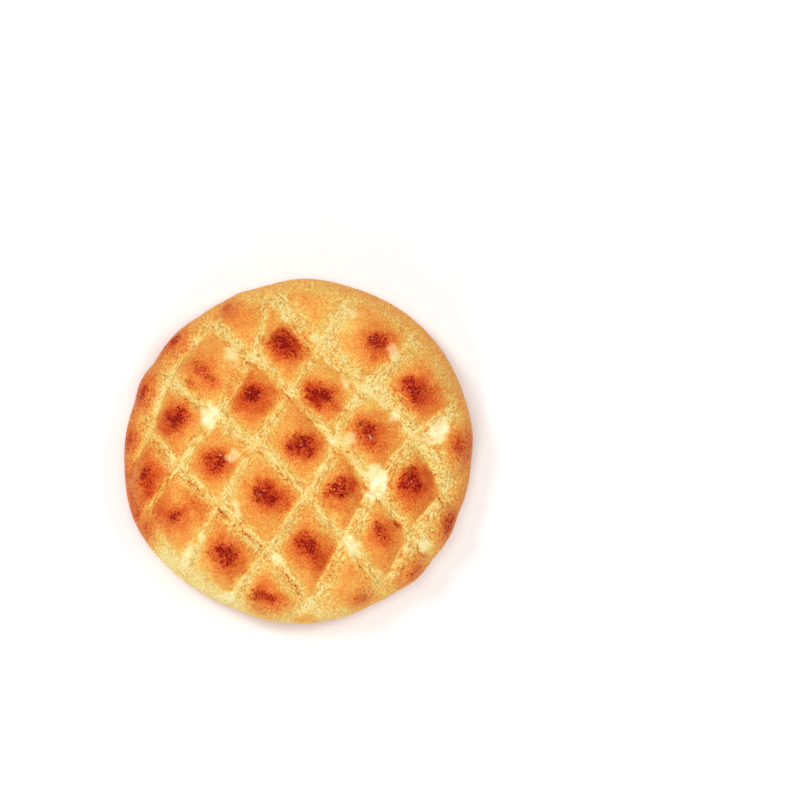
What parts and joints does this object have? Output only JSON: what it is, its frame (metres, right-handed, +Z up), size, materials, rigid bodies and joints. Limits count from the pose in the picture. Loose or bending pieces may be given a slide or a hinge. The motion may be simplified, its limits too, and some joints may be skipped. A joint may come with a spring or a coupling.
{
  "type": "honey cookie",
  "caption": "Round domed honey cookie, scored in a lattice so that it rose into rounded pillows with browned tops; rests on a flat base.",
  "frame": {"origin": "middle of the flat base, where the cookie rests", "axes": "+Z up through the dome; +X to the right and +Y away as the cookie is seen from its front"},
  "size_m": [0.1004, 0.0994, 0.0242],
  "materials": {
    "crust": "baked crust with egg wash: satin golden orange on the pillows, dark red-brown at their tops, pale and grainy in the cuts"
  },
  "bodies": {
    "root": {"cookie": "crust"}
  },
  "joints": []
}
